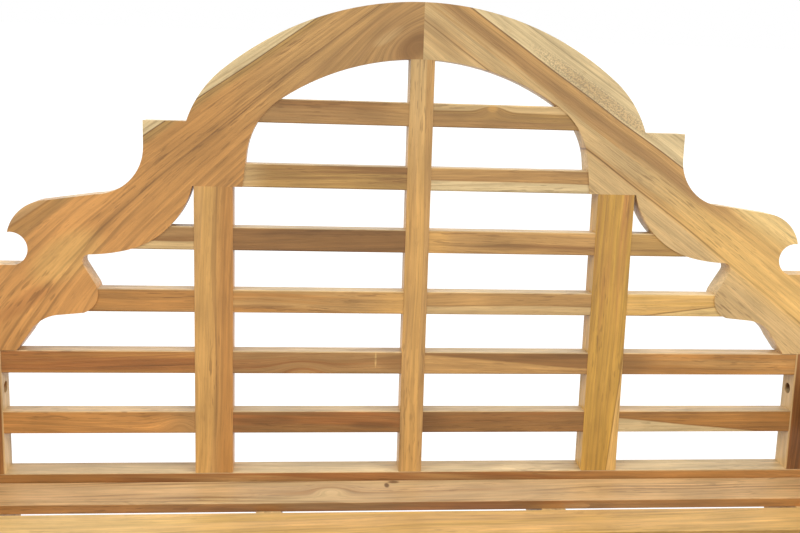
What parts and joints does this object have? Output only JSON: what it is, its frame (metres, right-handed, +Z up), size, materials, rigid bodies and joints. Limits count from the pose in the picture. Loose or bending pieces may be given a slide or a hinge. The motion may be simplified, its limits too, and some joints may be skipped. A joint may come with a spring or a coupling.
{
  "type": "garden bench",
  "caption": "Slatted wooden garden bench with an arched, stepped crest rail, rolled stave arms ending in roundels and a dished slat seat, for sitting outdoors.",
  "frame": {"origin": "centre of the bounding box footprint, on the floor", "axes": "+Z up, the front of the seat faces -Y, +X to the right seen from the front"},
  "size_m": [1.254, 0.569, 1.0158],
  "materials": {
    "teak": "sanded, unfinished",
    "steel": "plain"
  },
  "bodies": {
    "root": {"arm_dowels": "teak", "back_bolts": "steel", "back_bottom_rail": "teak", "barrel_nuts": "steel", "centre_stile": "teak", "crest_dowels": "teak", "crest_left": "teak", "crest_right": "teak", "inner_left_seat_bearer": "teak", "inner_right_seat_bearer": "teak", "left_arm_staves": "teak", "left_end_stile": "teak", "left_front_leg": "teak", "left_front_roundel": "teak", "left_rear_leg": "teak", "left_rear_roundel": "teak", "left_seat_bearer": "teak", "left_side_rail": "teak", "left_side_stretcher": "teak", "left_stile": "teak", "right_arm_staves": "teak", "right_end_stile": "teak", "right_front_leg": "teak", "right_front_roundel": "teak", "right_rear_leg": "teak", "right_rear_roundel": "teak", "right_seat_bearer": "teak", "right_side_rail": "teak", "right_side_stretcher": "teak", "right_stile": "teak", "seat_front_rail": "teak", "seat_rear_rail": "teak", "seat_slat_1": "teak", "seat_slat_2": "teak", "seat_slat_3": "teak", "seat_slat_4": "teak", "seat_slat_5": "teak", "seat_slat_6": "teak", "seat_slat_7": "teak", "slat_row1_left": "teak", "slat_row1_right": "teak", "slat_row2_left": "teak", "slat_row2_right": "teak", "slat_row3_left": "teak", "slat_row3_outer_left": "teak", "slat_row3_outer_right": "teak", "slat_row3_right": "teak", "slat_row4_left": "teak", "slat_row4_outer_left": "teak", "slat_row4_outer_right": "teak", "slat_row4_right": "teak", "slat_row5_left": "teak", "slat_row5_outer_left": "teak", "slat_row5_outer_right": "teak", "slat_row5_right": "teak", "slat_row6_left": "teak", "slat_row6_outer_left": "teak", "slat_row6_outer_right": "teak", "slat_row6_right": "teak"}
  },
  "joints": []
}
